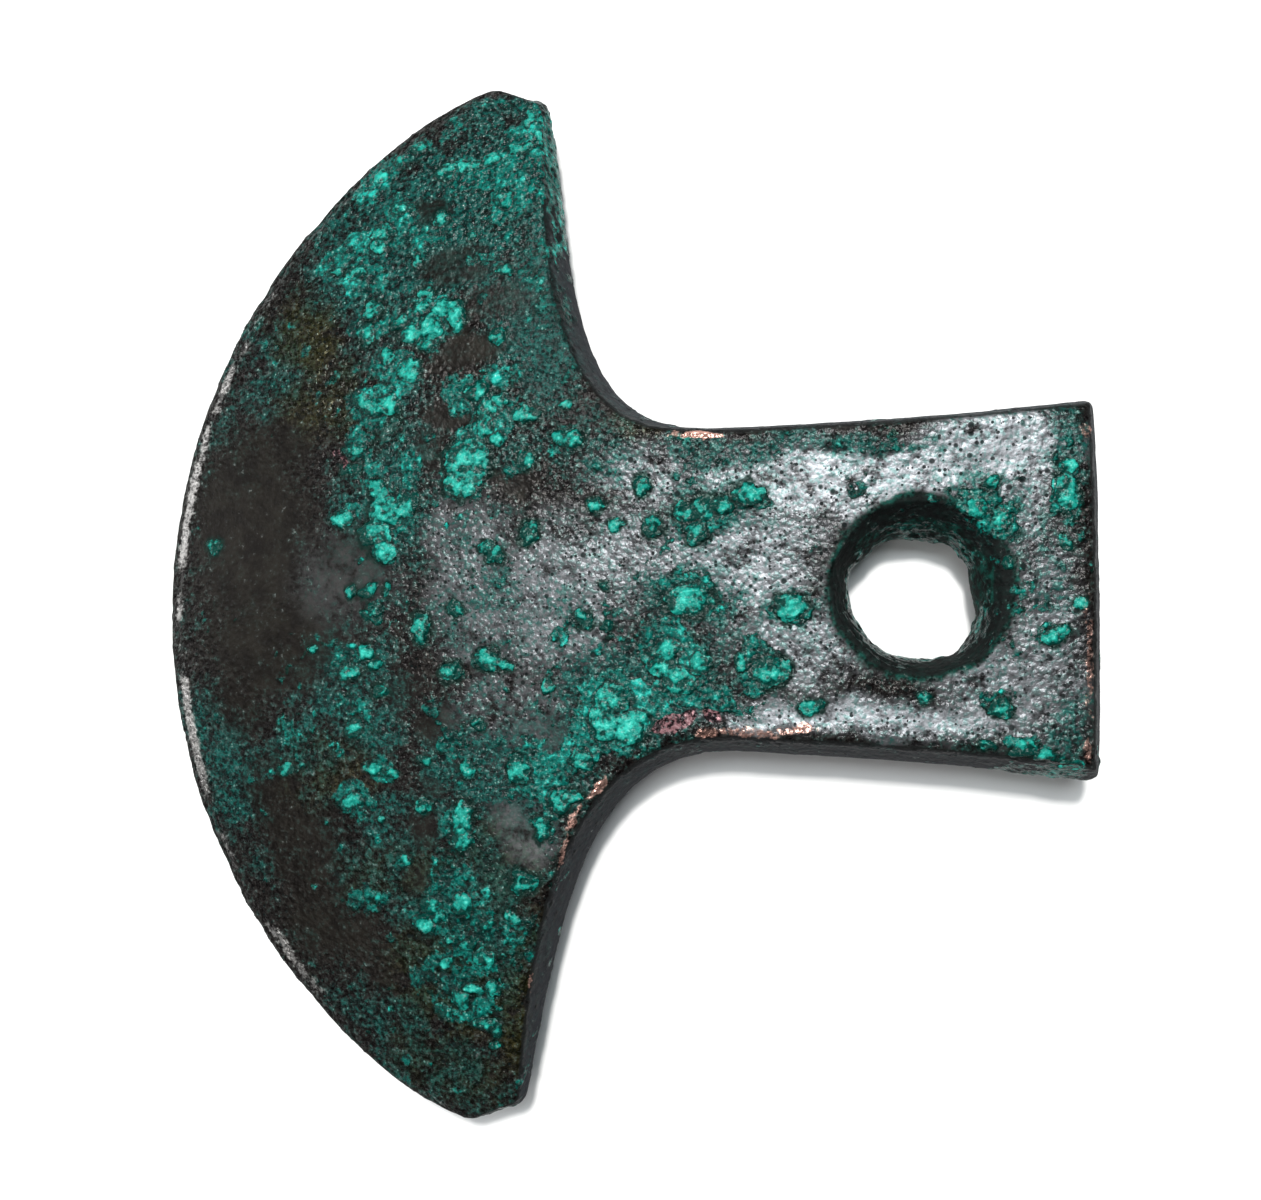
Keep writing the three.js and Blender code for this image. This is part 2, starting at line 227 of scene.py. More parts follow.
# Raised corrosion spots on the upper face: across and down in the photo, half width and
# half height in pixels, and height in mm.
WARTS = (
    (431, 326, 15, 14, 0.50),
    (410, 333, 13, 11, 0.42),
    (424, 344, 11, 10, 0.36),
    (447, 307, 18, 10, 0.52),
    (458, 318, 9, 12, 0.40),
    (420, 308, 10, 8, 0.34),
    (398, 322, 8, 7, 0.30),
    (374, 312, 15, 13, 0.32),
    (366, 335, 12, 10, 0.26),
    (388, 357, 10, 9, 0.34),
    (409, 371, 12, 12, 0.36),
    (427, 290, 11, 8, 0.30),
    (496, 338, 9, 11, 0.50),
    (478, 393, 14, 11, 0.62),
    (486, 410, 11, 13, 0.55),
    (484, 424, 9, 12, 0.55),
    (498, 402, 9, 8, 0.40),
    (468, 462, 24, 26, 0.45),
    (464, 484, 20, 16, 0.42),
    (497, 440, 9, 9, 0.36),
    (360, 400, 12, 10, 0.42),
    (375, 408, 17, 10, 0.42),
    (392, 405, 9, 12, 0.36),
    (355, 448, 16, 6, 0.32),
    (352, 470, 12, 8, 0.28),
    (376, 488, 13, 13, 0.34),
    (340, 520, 12, 11, 0.36),
    (384, 512, 20, 16, 0.34),
    (374, 535, 17, 13, 0.34),
    (382, 552, 13, 11, 0.30),
    (405, 505, 12, 12, 0.30),
    (568, 438, 15, 10, 0.48),
    (525, 460, 11, 9, 0.30),
    (525, 413, 16, 10, 0.28),
    (564, 405, 8, 7, 0.28),
    (529, 533, 13, 12, 0.45),
    (486, 548, 9, 9, 0.28),
    (496, 556, 11, 10, 0.28),
    (597, 506, 9, 9, 0.30),
    (642, 485, 9, 11, 0.30),
    (653, 526, 11, 12, 0.38),
    (616, 524, 9, 8, 0.22),
    (688, 511, 14, 11, 0.30),
    (706, 508, 11, 12, 0.28),
    (696, 531, 14, 11, 0.33),
    (724, 503, 9, 8, 0.28),
    (748, 493, 15, 11, 0.34),
    (690, 600, 24, 17, 0.36),
    (791, 606, 16, 14, 0.34),
    (607, 626, 8, 7, 0.30),
    (584, 621, 9, 10, 0.24),
    (604, 584, 7, 7, 0.22),
    (770, 671, 18, 15, 0.33),
    (742, 662, 7, 8, 0.32),
    (549, 685, 7, 8, 0.26),
    (663, 668, 14, 12, 0.30),
    (680, 682, 18, 12, 0.30),
    (700, 664, 12, 10, 0.26),
    (665, 648, 16, 9, 0.28),
    (612, 700, 20, 13, 0.34),
    (628, 728, 22, 16, 0.36),
    (604, 722, 12, 18, 0.32),
    (580, 760, 13, 11, 0.40),
    (560, 801, 13, 13, 0.46),
    (573, 795, 9, 8, 0.36),
    (519, 770, 14, 15, 0.34),
    (541, 829, 9, 12, 0.26),
    (420, 628, 12, 16, 0.62),
    (367, 591, 9, 9, 0.42),
    (376, 609, 7, 6, 0.40),
    (369, 618, 10, 4, 0.36),
    (352, 592, 8, 7, 0.32),
    (388, 592, 5, 8, 0.32),
    (456, 609, 9, 10, 0.30),
    (486, 659, 13, 12, 0.36),
    (506, 663, 9, 7, 0.26),
    (448, 671, 13, 11, 0.34),
    (365, 652, 9, 8, 0.40),
    (372, 663, 8, 7, 0.38),
    (350, 672, 12, 8, 0.34),
    (314, 652, 6, 6, 0.34),
    (380, 691, 8, 8, 0.28),
    (353, 728, 11, 12, 0.26),
    (212, 545, 10, 10, 0.18),
    (420, 148, 9, 9, 0.30),
    (398, 164, 8, 7, 0.28),
    (382, 177, 8, 8, 0.26),
    (472, 165, 15, 8, 0.30),
    (491, 159, 10, 8, 0.28),
    (447, 172, 13, 9, 0.26),
    (504, 196, 11, 12, 0.34),
    (541, 140, 7, 8, 0.26),
    (528, 118, 5, 13, 0.24),
    (520, 149, 14, 6, 0.24),
    (402, 208, 14, 9, 0.28),
    (384, 233, 13, 11, 0.30),
    (380, 247, 10, 9, 0.30),
    (441, 218, 10, 11, 0.26),
    (469, 236, 6, 6, 0.26),
    (416, 262, 6, 11, 0.26),
    (356, 273, 13, 7, 0.26),
    (336, 274, 10, 5, 0.24),
    (505, 268, 8, 7, 0.24),
    (284, 770, 10, 6, 0.20),
    (350, 803, 13, 10, 0.40),
    (373, 768, 12, 6, 0.42),
    (391, 773, 11, 5, 0.42),
    (466, 768, 9, 10, 0.36),
    (425, 805, 9, 8, 0.30),
    (379, 819, 6, 4, 0.32),
    (425, 759, 8, 7, 0.26),
    (479, 727, 7, 6, 0.26),
    (462, 818, 13, 17, 0.32),
    (462, 841, 12, 11, 0.30),
    (524, 883, 15, 13, 0.58),
    (463, 905, 12, 11, 0.42),
    (428, 908, 11, 9, 0.42),
    (424, 925, 12, 9, 0.44),
    (441, 918, 6, 6, 0.36),
    (488, 926, 7, 6, 0.34),
    (512, 918, 7, 9, 0.34),
    (450, 938, 9, 5, 0.36),
    (467, 945, 10, 7, 0.42),
    (484, 958, 10, 7, 0.42),
    (447, 965, 6, 10, 0.30),
    (462, 998, 11, 8, 0.44),
    (473, 988, 9, 6, 0.40),
    (493, 988, 8, 9, 0.36),
    (443, 1012, 8, 7, 0.36),
    (484, 1022, 14, 7, 0.44),
    (496, 1030, 6, 7, 0.36),
    (495, 1045, 6, 6, 0.30),
    (404, 859, 7, 5, 0.26),
    (1067, 495, 13, 18, 0.34),
    (1070, 467, 9, 7, 0.28),
    (991, 481, 8, 9, 0.30),
    (977, 508, 9, 10, 0.22),
    (1003, 517, 8, 12, 0.20),
    (1008, 559, 7, 7, 0.30),
    (1056, 634, 13, 10, 0.30),
    (1080, 602, 6, 7, 0.24),
    (1068, 540, 7, 7, 0.26),
    (1001, 712, 11, 10, 0.22),
    (1022, 750, 13, 8, 0.34),
    (983, 748, 9, 6, 0.26),
    (1045, 758, 12, 6, 0.28),
    (1066, 767, 12, 6, 0.28),
    (812, 707, 12, 9, 0.18),
    (925, 698, 8, 7, 0.16),
)

# Ground that carries teal crust: across, down, half width, half height in pixels, turn in
# degrees clockwise and how much of the ground it covers.
CRUSTED = (
    (532, 150, 38, 62, 0, 0.80),
    (478, 172, 48, 26, 10, 0.85),
    (515, 200, 34, 26, 0, 0.85),
    (418, 150, 24, 13, -35, 0.80),
    (375, 184, 40, 18, -38, 0.80),
    (395, 212, 34, 18, 0, 0.75),
    (385, 240, 58, 22, 0, 0.95),
    (332, 258, 36, 18, -15, 0.80),
    (436, 230, 24, 20, 0, 0.70),
    (365, 280, 34, 20, 0, 0.80),
    (490, 262, 30, 14, 40, 0.60),
    (530, 255, 30, 30, 0, 0.30),
    (550, 310, 16, 34, 15, 0.45),
    (372, 322, 28, 26, 0, 0.80),
    (428, 326, 42, 27, -12, 0.72),
    (470, 120, 46, 14, -30, 0.55),
    (515, 104, 26, 12, 8, 0.60),
    (398, 365, 24, 26, 0, 0.85),
    (482, 384, 46, 22, 0, 0.80),
    (500, 420, 18, 26, 0, 0.75),
    (372, 402, 28, 24, 0, 0.90),
    (350, 440, 20, 24, 0, 0.70),
    (407, 455, 14, 38, 0, 0.70),
    (358, 478, 22, 22, 0, 0.70),
    (390, 512, 28, 34, 0, 0.95),
    (342, 518, 18, 14, 0, 0.70),
    (384, 550, 20, 26, -20, 0.80),
    (466, 466, 28, 40, 0, 0.95),
    (525, 412, 26, 16, 0, 0.60),
    (566, 440, 18, 22, 0, 0.60),
    (526, 460, 16, 12, 0, 0.55),
    (600, 470, 22, 16, 0, 0.42),
    (372, 602, 14, 22, 0, 0.60),
    (354, 664, 26, 16, -30, 0.70),
    (350, 718, 18, 28, -25, 0.62),
    (330, 640, 20, 20, 0, 0.35),
    (450, 672, 20, 14, 0, 0.60),
    (435, 706, 20, 10, -30, 0.55),
    (488, 660, 24, 14, 0, 0.70),
    (452, 740, 22, 14, -40, 0.50),
    (470, 773, 18, 16, 0, 0.70),
    (380, 770, 26, 13, 10, 0.75),
    (352, 802, 20, 16, 0, 0.70),
    (372, 828, 18, 12, 0, 0.45),
    (300, 750, 50, 30, 0, 0.42),
    (460, 826, 18, 28, 10, 0.62),
    (538, 780, 40, 44, 0, 0.82),
    (576, 752, 42, 22, -40, 0.90),
    (620, 712, 50, 40, -20, 1.00),
    (676, 662, 38, 38, 0, 1.00),
    (714, 694, 44, 14, 0, 0.75),
    (768, 668, 26, 22, 30, 0.75),
    (760, 703, 26, 10, 0, 0.52),
    (810, 706, 16, 12, 0, 0.55),
    (690, 598, 38, 26, 0, 0.75),
    (700, 512, 32, 26, -15, 0.85),
    (746, 492, 20, 13, 0, 0.80),
    (790, 604, 20, 17, 0, 0.75),
    (518, 885, 26, 14, -10, 0.52),
    (460, 905, 16, 12, 0, 0.45),
    (430, 918, 20, 15, 0, 0.58),
    (470, 948, 40, 10, 28, 0.52),
    (462, 985, 22, 18, 0, 0.48),
    (485, 1028, 20, 12, 20, 0.50),
    (512, 918, 12, 12, 0, 0.42),
    (402, 862, 18, 10, -30, 0.50),
    (380, 880, 30, 30, 0, 0.32),
    (465, 955, 72, 92, 0, 0.38),
    (525, 1085, 16, 12, 0, 0.45),
    (445, 1072, 14, 10, 0, 0.35),
    (986, 508, 24, 28, -15, 0.72),
    (1067, 492, 18, 32, 0, 0.82),
    (1034, 752, 32, 10, 12, 0.80),
    (1068, 766, 24, 8, 10, 0.85),
    (1056, 634, 16, 12, 0, 0.60),
    (1001, 708, 14, 16, 0, 0.50),
    (600, 640, 60, 40, 0, 0.26),
    (520, 700, 60, 60, 0, 0.26),
    (1030, 600, 26, 26, 0, 0.30),
    (835, 441, 90, 9, 1, 0.40),
    (720, 447, 50, 9, 4, 0.45),
)

# Ground stained a dark bottle green, laid out in the same way.
STAINED = (
    (440, 225, 190, 120, -20, 0.85),
    (485, 112, 60, 22, -20, 0.95),
    (480, 590, 70, 110, 0, 0.30),
    (270, 370, 55, 85, 15, 0.42),
    (225, 430, 22, 60, 15, 0.40),
    (540, 320, 55, 100, -10, 1.10),
    (385, 480, 60, 120, 0, 0.80),
    (520, 430, 90, 40, 0, 0.55),
    (600, 460, 60, 40, 0, 0.50),
    (350, 700, 80, 80, 0, 0.65),
    (225, 770, 45, 110, -22, 0.70),
    (300, 750, 60, 40, 0, 0.65),
    (500, 770, 110, 70, 0, 0.75),
    (640, 690, 110, 60, -20, 0.90),
    (470, 920, 80, 110, 0, 0.76),
    (380, 850, 70, 60, 0, 0.55),
    (420, 1050, 120, 50, 30, 0.50),
    (690, 600, 60, 40, 0, 0.75),
    (705, 510, 55, 36, -12, 0.75),
    (790, 604, 28, 24, 0, 0.55),
    (835, 441, 110, 13, 1, 0.70),
    (715, 450, 60, 14, 4, 0.60),
    (1068, 450, 22, 60, 0, 0.65),
    (1040, 560, 40, 60, 0, 0.35),
    (1068, 730, 26, 40, 0, 0.55),
    (985, 505, 36, 36, 0, 0.60),
    (560, 640, 80, 60, 0, 0.22),
)

# Ground that is olive brown between the grains.
OLIVE = (
    (302, 335, 48, 52, 0, 1.00),
    (330, 400, 60, 40, 0, 0.75),
    (385, 432, 34, 22, 0, 0.60),
    (535, 180, 30, 40, 0, 0.55),
    (500, 208, 30, 24, 0, 0.40),
    (450, 980, 60, 70, 0, 1.00),
    (520, 990, 30, 90, 10, 1.00),
    (500, 870, 50, 50, 0, 0.70),
    (440, 1060, 70, 40, 20, 0.60),
    (400, 870, 60, 40, 0, 0.55),
    (330, 770, 60, 40, 0, 0.65),
    (640, 425, 40, 14, 10, 0.50),
)

# Ground where the crust has gone and the bronze is smooth.
SMOOTH = (
    (250, 530, 78, 120, 0, 1.00),
    (275, 640, 90, 60, 0, 1.00),
    (270, 450, 55, 40, 0, 0.85),
    (345, 570, 42, 46, 0, 1.00),
    (240, 700, 40, 46, 0, 0.75),
    (272, 800, 34, 50, -20, 0.80),
    (305, 850, 46, 46, 0, 0.80),
    (335, 920, 66, 44, 20, 0.85),
    (452, 268, 42, 22, 0, 0.85),
    (500, 300, 40, 22, 0, 0.75),
    (470, 348, 46, 20, -12, 1.00),
    (448, 418, 34, 18, 0, 1.00),
    (428, 212, 22, 13, 0, 0.85),
    (430, 450, 18, 24, 0, 0.70),
    (515, 482, 26, 16, 0, 0.85),
    (518, 836, 22, 36, -25, 1.00),
    (440, 728, 22, 18, 0, 1.00),
    (424, 832, 22, 20, 0, 0.85),
    (432, 880, 26, 14, 0, 0.75),
    (540, 730, 34, 20, 0, 0.70),
    (432, 785, 16, 14, 0, 0.70),
    (400, 690, 24, 24, 0, 0.50),
    (380, 965, 30, 30, 0, 0.55),
)

# Ground with a polish, where the colour is painted with a pale silvery sheen.
POLISHED_AND_SHEEN = (
    (830, 478, 130, 40, 0, 1.00),
    (980, 450, 90, 34, -6, 1.00),
    (1010, 480, 40, 60, 0, 0.70),
    (640, 475, 55, 30, 0, 0.60),
    (560, 600, 70, 80, 0, 0.60),
    (482, 590, 48, 90, 0, 0.46),
    (455, 520, 26, 50, 0, 0.34),
    (630, 560, 70, 50, 0, 0.60),
    (740, 560, 70, 60, 0, 0.80),
    (810, 640, 70, 40, 0, 0.70),
    (860, 720, 160, 20, 3, 1.00),
    (700, 545, 50, 24, 0, 0.70),
    (1000, 690, 50, 50, 0, 0.65),
    (1050, 640, 30, 100, 0, 0.60),
    (510, 720, 60, 50, 0, 0.35),
    (520, 830, 30, 40, -20, 0.34),
    (350, 580, 60, 50, 0, 0.11),
)

# Ground where the green is sooty and dull.
DULL = (
    (548, 320, 40, 100, -12, 1.00),
    (500, 285, 40, 40, 0, 0.60),
    (590, 415, 36, 22, 25, 0.70),
)

# Edges rubbed down to bright copper.
RUBBED = (
    (703, 434, 24, 5, 3, 1.00),
    (680, 433, 14, 4, 3, 0.60),
    (760, 731, 70, 6, 0, 0.55),
    (800, 730, 14, 6, 0, 0.80),
    (705, 733, 14, 5, 0, 0.70),
    (597, 786, 14, 6, -50, 0.90),
    (575, 815, 18, 4, -60, 0.70),
    (562, 850, 26, 4, -70, 0.55),
    (530, 97, 18, 5, 12, 0.70),
    (1087, 428, 6, 10, 0, 0.45),
    (1090, 660, 5, 70, 0, 0.50),
    (1088, 750, 6, 14, 0, 0.70),
    (700, 712, 10, 7, 0, 0.30),
    (532, 985, 4, 14, 0, 0.45),
)

# The rough purple-brown scar beside the lower notch, and a small one on the blade.
SCARRED = (
    (672, 722, 30, 9, -28, 1.00),
    (710, 714, 10, 7, 0, 1.00),
    (338, 453, 9, 3, 25, 0.85),
    (344, 462, 7, 3, 70, 0.85),
)
# One pixel of the photo on the upper face, in mm.
PIXEL_ON_FACE = 0.136


def laid_out(table):
    return [(spot_on_face(row[0], row[1]), *row[2:]) for row in table]


wart_spots = laid_out(WARTS)
crusted_spots = laid_out(CRUSTED)
stained_spots = laid_out(STAINED)
olive_spots = laid_out(OLIVE)
smooth_spots = laid_out(SMOOTH)
polished_and_sheen_spots = laid_out(POLISHED_AND_SHEEN)
dull_spots = laid_out(DULL)
rubbed_spots = laid_out(RUBBED)
scarred_spots = laid_out(SCARRED)


def from_oval(places, spot, half_across, half_down, turn):
    """How far each place is from an oval's middle, 1 on its rim."""
    right = places[:, 0] - spot.x
    down = spot.y - places[:, 1]
    c, s = math.cos(math.radians(turn)), math.sin(math.radians(turn))
    along = (right * c + down * s) / (half_across * PIXEL_ON_FACE)
    across = (down * c - right * s) / (half_down * PIXEL_ON_FACE)
    return np.hypot(along, across)


def nearby(places, spot, half_across, half_down, turn, gone):
    """Which places may lie within gone times an oval's size, and how far each is from its
    middle."""
    reach = max(half_across, half_down) * PIXEL_ON_FACE * gone
    beside = np.abs(places[:, 0] - spot.x) < reach
    near = np.flatnonzero(beside & (np.abs(places[:, 1] - spot.y) < reach))
    return near, from_oval(places[near], spot, half_across, half_down, turn)


def painted(places, spots, full=0.55, gone=1.35):
    """The strongest of several soft-rimmed ovals at each place."""
    strength = np.zeros(len(places))
    for spot, half_across, half_down, turn, amount in spots:
        near, away = nearby(places, spot, half_across, half_down, turn, gone)
        here = amount * (1 - smooth_step(full, gone, away))
        strength[near] = np.maximum(strength[near], here)
    return strength


def strayed(places, size, distance, seed):
    """The places moved sideways by noise, so that painted ovals lose their even outlines."""
    moved = places.copy()
    moved[:, 0] += distance * layered_noise(places, size, 3, seed, 0.6)
    moved[:, 1] += distance * layered_noise(places, size, 3, seed + 100, 0.6)
    return moved


def sides_of(normals):
    """How far each place belongs to the upper face, and to the underside."""
    return smooth_step(0.30, 0.70, normals[:, 2]), smooth_step(0.30, 0.70, -normals[:, 2])


# The cutting edge's sweep and the hole, in mm.
SWEEP_RADIUS = 83.98
SWEEP_CENTRE = 16.98
HOLE_CENTRE = (43.4, 0.0)
HOLE_SURROUND = 13.0
# How much crust there is where the ovals above don't say it: on the underside, on the walls
# (less on the tang's), in the hole, and more again on the hole's lower side.
UNDERSIDE_CRUST = 0.33
WALL_CRUST = 0.42
TANG_WALL_LESS = 0.34
HOLE_CRUST = 0.42
HOLE_LOW_CRUST = 0.22
# Two walls that carry more of it: the upper horn's back and the tang's lower corner.
HORN_BACK = [(Vector((-7.5, 62.0, MID_PLANE)), 60, 105, 0, 1.0)]
LOW_CORNER = [(Vector((62.0, -24.5, MID_PLANE)), 90, 30, 0, 0.8)]


def inward_of(places):
    """How far a place lies in from the cutting edge."""
    back = np.minimum(places[:, 0] - SWEEP_CENTRE, 0)
    return SWEEP_RADIUS - np.hypot(back, places[:, 1])


def tones(places, normals):
    """The fields that the colour reads, each from 0 to 1."""
    upper, under = sides_of(normals)
    wall = np.clip(1 - upper - under, 0, 1)
    loose = strayed(places, 7.0, 1.5, 401)
    close = strayed(places, 3.0, 0.5, 201)
    patches = layered_noise(places, 5.0, 5, 41, 0.72)
    hidden = UNDERSIDE_CRUST + 0.25 * layered_noise(places, 22.0, 2, 77)
    on_walls = WALL_CRUST - TANG_WALL_LESS * smooth_step(-12.0, -2.0, places[:, 0])
    horn_back = 1.1 * painted(loose, HORN_BACK, 0.40, 1.6)
    low_corner = 0.9 * painted(loose, LOW_CORNER, 0.40, 1.5)
    on_walls = np.maximum(on_walls, np.maximum(horn_back, low_corner))
    in_hole = 1 - smooth_step(10.6, 12.2, np.hypot(places[:, 0] - HOLE_CENTRE[0], places[:, 1]))
    hole_crust = HOLE_CRUST + HOLE_LOW_CRUST * smooth_step(0.0, 8.0, -places[:, 1])
    on_walls = np.maximum(on_walls * (1 - in_hole), hole_crust * in_hole)
    cover = painted(loose, crusted_spots) * upper + hidden * under + on_walls * wall
    crust = smooth_step(-0.25, 0.75, 1.35 * cover + 0.50 * patches - 0.45)
    bloom = smooth_step(-0.20, 1.30, 0.85 * cover + 0.50 * layered_noise(close, 3.4, 3, 53, 0.7))
    freckle_away, freckle_number = cell_noise(close, 2.4, 811)
    freckle_size = 0.10 + 0.22 * freckle_number
    freckles = 1 - smooth_step(0.8, 1.2, freckle_away / freckle_size)
    stain = painted(loose, stained_spots, 0.35, 1.45) * upper + 0.55 * under + 0.45 * wall
    stain += 0.25 * layered_noise(close, 2.8, 3, 61, 0.7)
    stain = np.maximum(stain, 0.9 * in_hole)
    freckles = freckles * (freckle_number > 0.45) * smooth_step(0.1, 0.6, stain + 0.25 * patches)
    crust = np.maximum(crust, 0.8 * freckles * (upper + 0.5 * under))
    olive = painted(loose, olive_spots) * upper + 0.35 * under
    blurred = strayed(places, 3.5, 1.1, 431)
    smooth = painted(blurred, smooth_spots, 0.55, 1.35) * upper + 0.35 * under
    smooth += 0.8 * wall * (1 - crust)
    polish_and_sheen = painted(loose, polished_and_sheen_spots, 0.4, 1.5) * upper + 0.12 * under + 0.15 * wall
    tips = smooth_step(64.0, 68.0, np.abs(places[:, 1])) * smooth_step(4.5, 6.5, places[:, 2])
    rubbed = painted(close, rubbed_spots, 0.5, 1.3)
    rubbed *= np.maximum(smooth_step(8.6, 10.6, places[:, 2]), tips)
    scar = painted(close, scarred_spots, 0.7, 1.15) * upper
    inward = inward_of(places)
    shoulder = smooth_step(0.7, 1.5, inward) * (1 - smooth_step(1.8, 3.6, inward))
    stretch = smooth_step(-66.0, -58.0, places[:, 1]) * (1 - smooth_step(38.0, 46.0, places[:, 1]))
    patchy = 0.55 + 0.9 * layered_noise(places, 9.0, 4, 733, 0.75)
    worn = shoulder * np.clip(patchy, 0, 1) * (0.25 + 0.75 * stretch) * (upper + 0.3 * under)
    return {
        "crust": crust,
        "bloom": bloom,
        "stain": stain,
        "olive": olive,
        "smooth": smooth * (1 - crust),
        "polish_and_sheen": polish_and_sheen * (1 - 0.8 * crust),
        "dull": painted(loose, dull_spots, 0.5, 1.4) * upper,
        "rubbed": rubbed,
        "scar": scar,
        "worn": worn,
    }


def lumps_of(places):
    """The crust's lumps of three sizes, each from 0 in the hollows to 1 on the tops."""
    close = strayed(places, 2.6, 0.35, 201)
    clump_away, clump_number = cell_noise(close, 2.2, 51)
    lump_away, lump_number = cell_noise(close, 1.05, 71)
    bead_away, _ = cell_noise(close, 0.5, 91)
    clumps = 1 - smooth_step(0.0, 1.0, clump_away / (0.30 + 0.40 * clump_number))
    lumps = np.clip(1 - lump_away / 0.8, 0, 1) * (0.35 + 0.65 * lump_number)
    beads = np.clip(1 - bead_away / 0.8, 0, 1)
    return clumps, lumps, beads


def crest_of(places):
    """How high each place stands on the lumps, from 0 to 1."""
    clumps, lumps, beads = lumps_of(places)
    return np.clip(-0.14 + 0.52 * clumps + 0.68 * lumps + 0.32 * beads, 0, 1)


def bronze_relief(places, normals):
    """How far the bronze stands out of the even casting, in mm along its normals."""
    upper, under = sides_of(normals)
    fields = tones(places, normals)
    rough = 1 - 0.75 * fields["smooth"]
    swell = layered_noise(places, 19.0, 2, 5)
    beaten = layered_noise(places, 6.5, 2, 15)
    grain = layered_noise(places, 1.6, 3, 25, 0.65)
    pit_away, pit_number = cell_noise(places, 1.7, 121)
    pits = smooth_step(0.0, 0.6, np.clip(1 - pit_away / (0.12 + 0.25 * pit_number), 0, 1))
    worn = smooth_step(0.3, 6.0, inward_of(places))
    relief = (0.10 * swell + 0.06 * beaten) * (0.5 + 0.5 * worn)
    relief += 0.055 * grain * rough * (1 - 0.45 * under) * (0.4 + 0.6 * worn)
    relief -= 0.15 * pits * rough * (1 - 0.6 * under) * worn
    relief -= 0.12 * fields["scar"] * (0.5 + grain)
    wall = np.clip(1 - upper - under, 0, 1)
    relief += wall * fields["crust"] * 0.14 * (0.5 + grain)
    nick = layered_noise(places * np.array((1.0, 1.0, 0.1)), 5.0, 3, 655, 0.7)
    relief -= 0.22 * np.clip(nick - 0.15, 0, 1) * (1 - smooth_step(0.2, 2.2, inward_of(places)))
    return relief


# The tang's broad faces sink a little between raised rims.
TANG_DISH = 0.26


def dish_of(places, normals):
    upper, under = sides_of(normals)
    across_tang = 1 - smooth_step(14.0, 22.0, np.abs(places[:, 1]))
    along_tang = smooth_step(-6.0, 8.0, places[:, 0]) * (1 - smooth_step(58.0, 64.5, places[:, 0]))
    return -TANG_DISH * across_tang * along_tang * (upper + under)


# The throat of the hole is worn and crusted out of round: direction in degrees
# anticlockwise from the butt side, how wide that place is in degrees, and how far the wall
# stands out from the bored round in mm.
THROAT = (
    (10, 22, -0.95),
    (75, 14, -0.25),
    (120, 16, 0.15),
    (142, 12, -0.35),
    (166, 13, 0.60),
    (218, 14, -0.40),
    (262, 20, 0.30),
    (305, 22, 0.85),
    (348, 12, -0.35),
)
# A dark ledge of crust low down on the upper horn's side, in degrees and mm.
LEDGE_MIDDLE = 94
LEDGE_WIDTH = 36
LEDGE_DEPTH = 1.5


def out_of_round(places):
    """How far the wall of the hole is moved away from the middle of the hole, in mm."""
    across = places[:, 0] - HOLE_CENTRE[0]
    along = places[:, 1] - HOLE_CENTRE[1]
    reach = np.hypot(across, along)
    turn = np.degrees(np.arctan2(along, across))
    moved = 0.10 * layered_noise(places * np.array((1.0, 1.0, 0.5)), 2.4, 3, 911, 0.7)
    moved += 0.30 * layered_noise(places * np.array((1.0, 1.0, 0.3)), 5.0, 2, 917, 0.7)
    for middle, width, amount in THROAT:
        away = (turn - middle + 180) % 360 - 180
        moved += amount * np.exp(-((away / width) ** 2))
    ledge = np.exp(-(((turn - LEDGE_MIDDLE) / LEDGE_WIDTH) ** 2))
    moved -= LEDGE_DEPTH * ledge * (1 - smooth_step(1.5, 6.5, places[:, 2]))
    moved *= 1 - smooth_step(9.8, 12.8, reach)
    step = np.zeros_like(places)
    step[:, 0] = moved * across / np.maximum(reach, 0.1)
    step[:, 1] = moved * along / np.maximum(reach, 0.1)
    return step


# The upper arris of the tang stands nearly over the parting ridge along its far side and
# its butt, so that hardly any wall shows there from above.
FAR_ARRIS_OUT = 0.80
BUTT_ARRIS_OUT = 0.45


def arris_out(places):
    high = smooth_step(6.5, 11.2, places[:, 2])
    far_side = smooth_step(11.0, 17.0, places[:, 1]) * smooth_step(3.0, 13.0, places[:, 0])
    step = np.zeros_like(places)
    step[:, 0] = BUTT_ARRIS_OUT * high * smooth_step(58.0, 64.5, places[:, 0])
    step[:, 1] = FAR_ARRIS_OUT * high * far_side
    return step


relief = bronze_relief(skin, skin_normals) + dish_of(skin, skin_normals)
skin = skin + relief[:, None] * skin_normals
skin += out_of_round(skin) + arris_out(skin)
# The levels that the bronze stays between, in mm.
LOWEST = 0.01
HIGHEST = 12.30
skin[:, 2] = np.clip(skin[:, 2], LOWEST, HIGHEST)
put_places(skin_mesh, skin)

body = bpy.data.objects.new("axe_bronze", skin_mesh)
scene.collection.objects.link(body)
thin = body.modifiers.new("thin", "DECIMATE")
skin_mesh.calc_loop_triangles()
thin.ratio = min(1.0, SKIN_TRIANGLES / len(skin_mesh.loop_triangles))
bpy.context.view_layer.update()
body_mesh = bpy.data.meshes.new_from_object(
    body.evaluated_get(bpy.context.evaluated_depsgraph_get())
)
body.modifiers.clear()
body.data = body_mesh
bpy.data.meshes.remove(skin_mesh)


def put_tones(mesh, fields):
    for name, values in fields.items():
        layer = mesh.attributes.new(name, "FLOAT", "POINT")
        layer.data.foreach_set("value", values.astype(np.float32))


def halo_of(places):
    """A stain round each raised spot, 1 under the spot and 0 well away from it, and a near
    black ring of painted shade close round its foot."""
    close = strayed(places, 2.6, 0.60, 201)
    halo = np.zeros(len(places))
    foot_shade = np.zeros(len(places))
    for spot, half_across, half_down, _ in wart_spots:
        near, away = nearby(close, spot, half_across, half_down, 0, 1.8)
        halo[near] = np.maximum(halo[near], 1 - smooth_step(0.95, 1.7, away))
        foot = np.exp(-(((away - 1.10) / 0.15) ** 2))
        foot_shade[near] = np.maximum(foot_shade[near], foot)
    return halo, foot_shade


